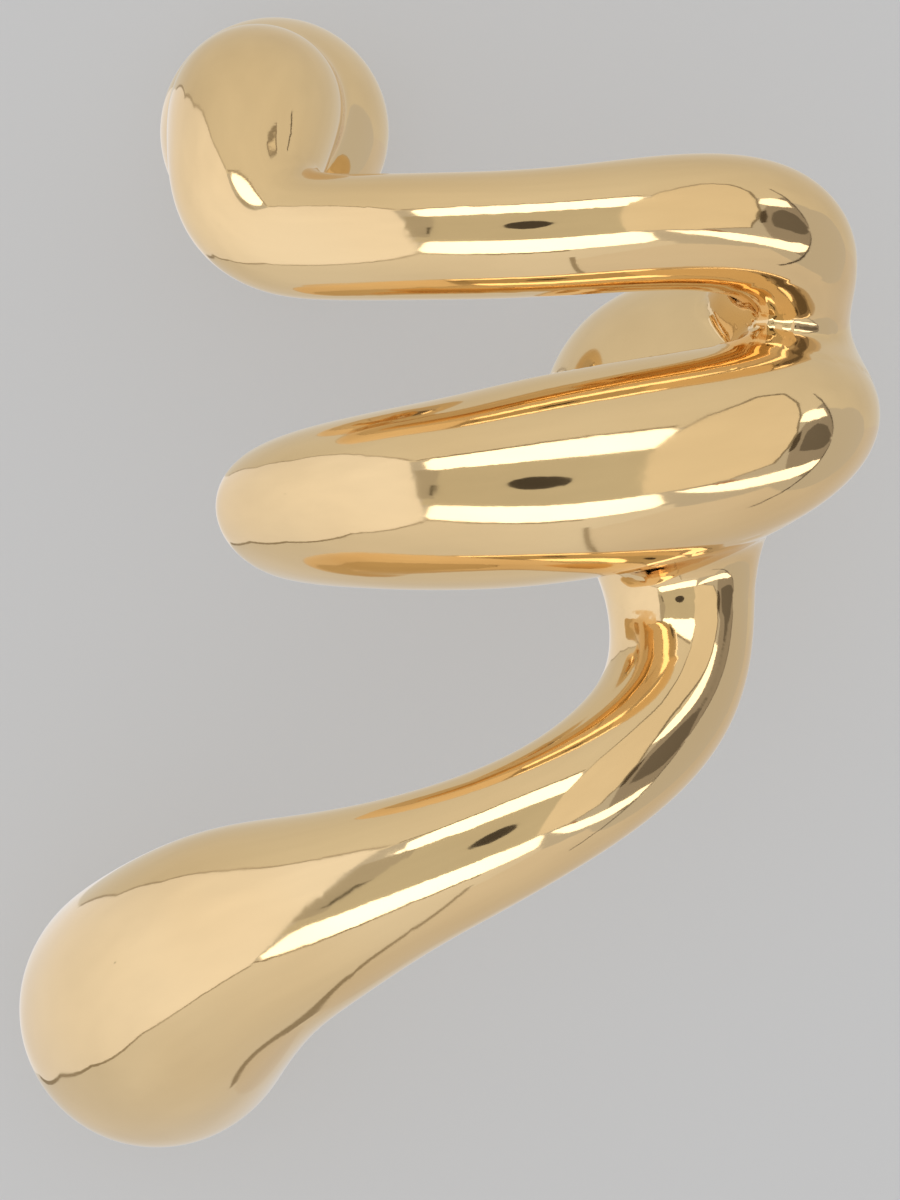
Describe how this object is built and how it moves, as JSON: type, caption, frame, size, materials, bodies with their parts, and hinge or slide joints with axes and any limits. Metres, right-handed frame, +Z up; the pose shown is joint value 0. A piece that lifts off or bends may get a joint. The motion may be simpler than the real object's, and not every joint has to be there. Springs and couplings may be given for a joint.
{
  "type": "ear cuff",
  "caption": "Sculptural ear cuff of thick round rods that branch, curl round the rim of the ear and end in drops, in polished gold-coloured metal.",
  "frame": {"origin": "centre of the bounding box at the surface the cuff lies on", "axes": "+Z up from that surface, towards the side that faces outward when worn; +Y along the length, from the large drop to the small drop; +X towards the joined ends of the two upper arms"},
  "size_m": [0.0234, 0.031, 0.014],
  "materials": {
    "polished_gold": "mirror polished, pale yellow gold colour"
  },
  "bodies": {
    "root": {"ear_cuff": "polished_gold"}
  },
  "joints": []
}
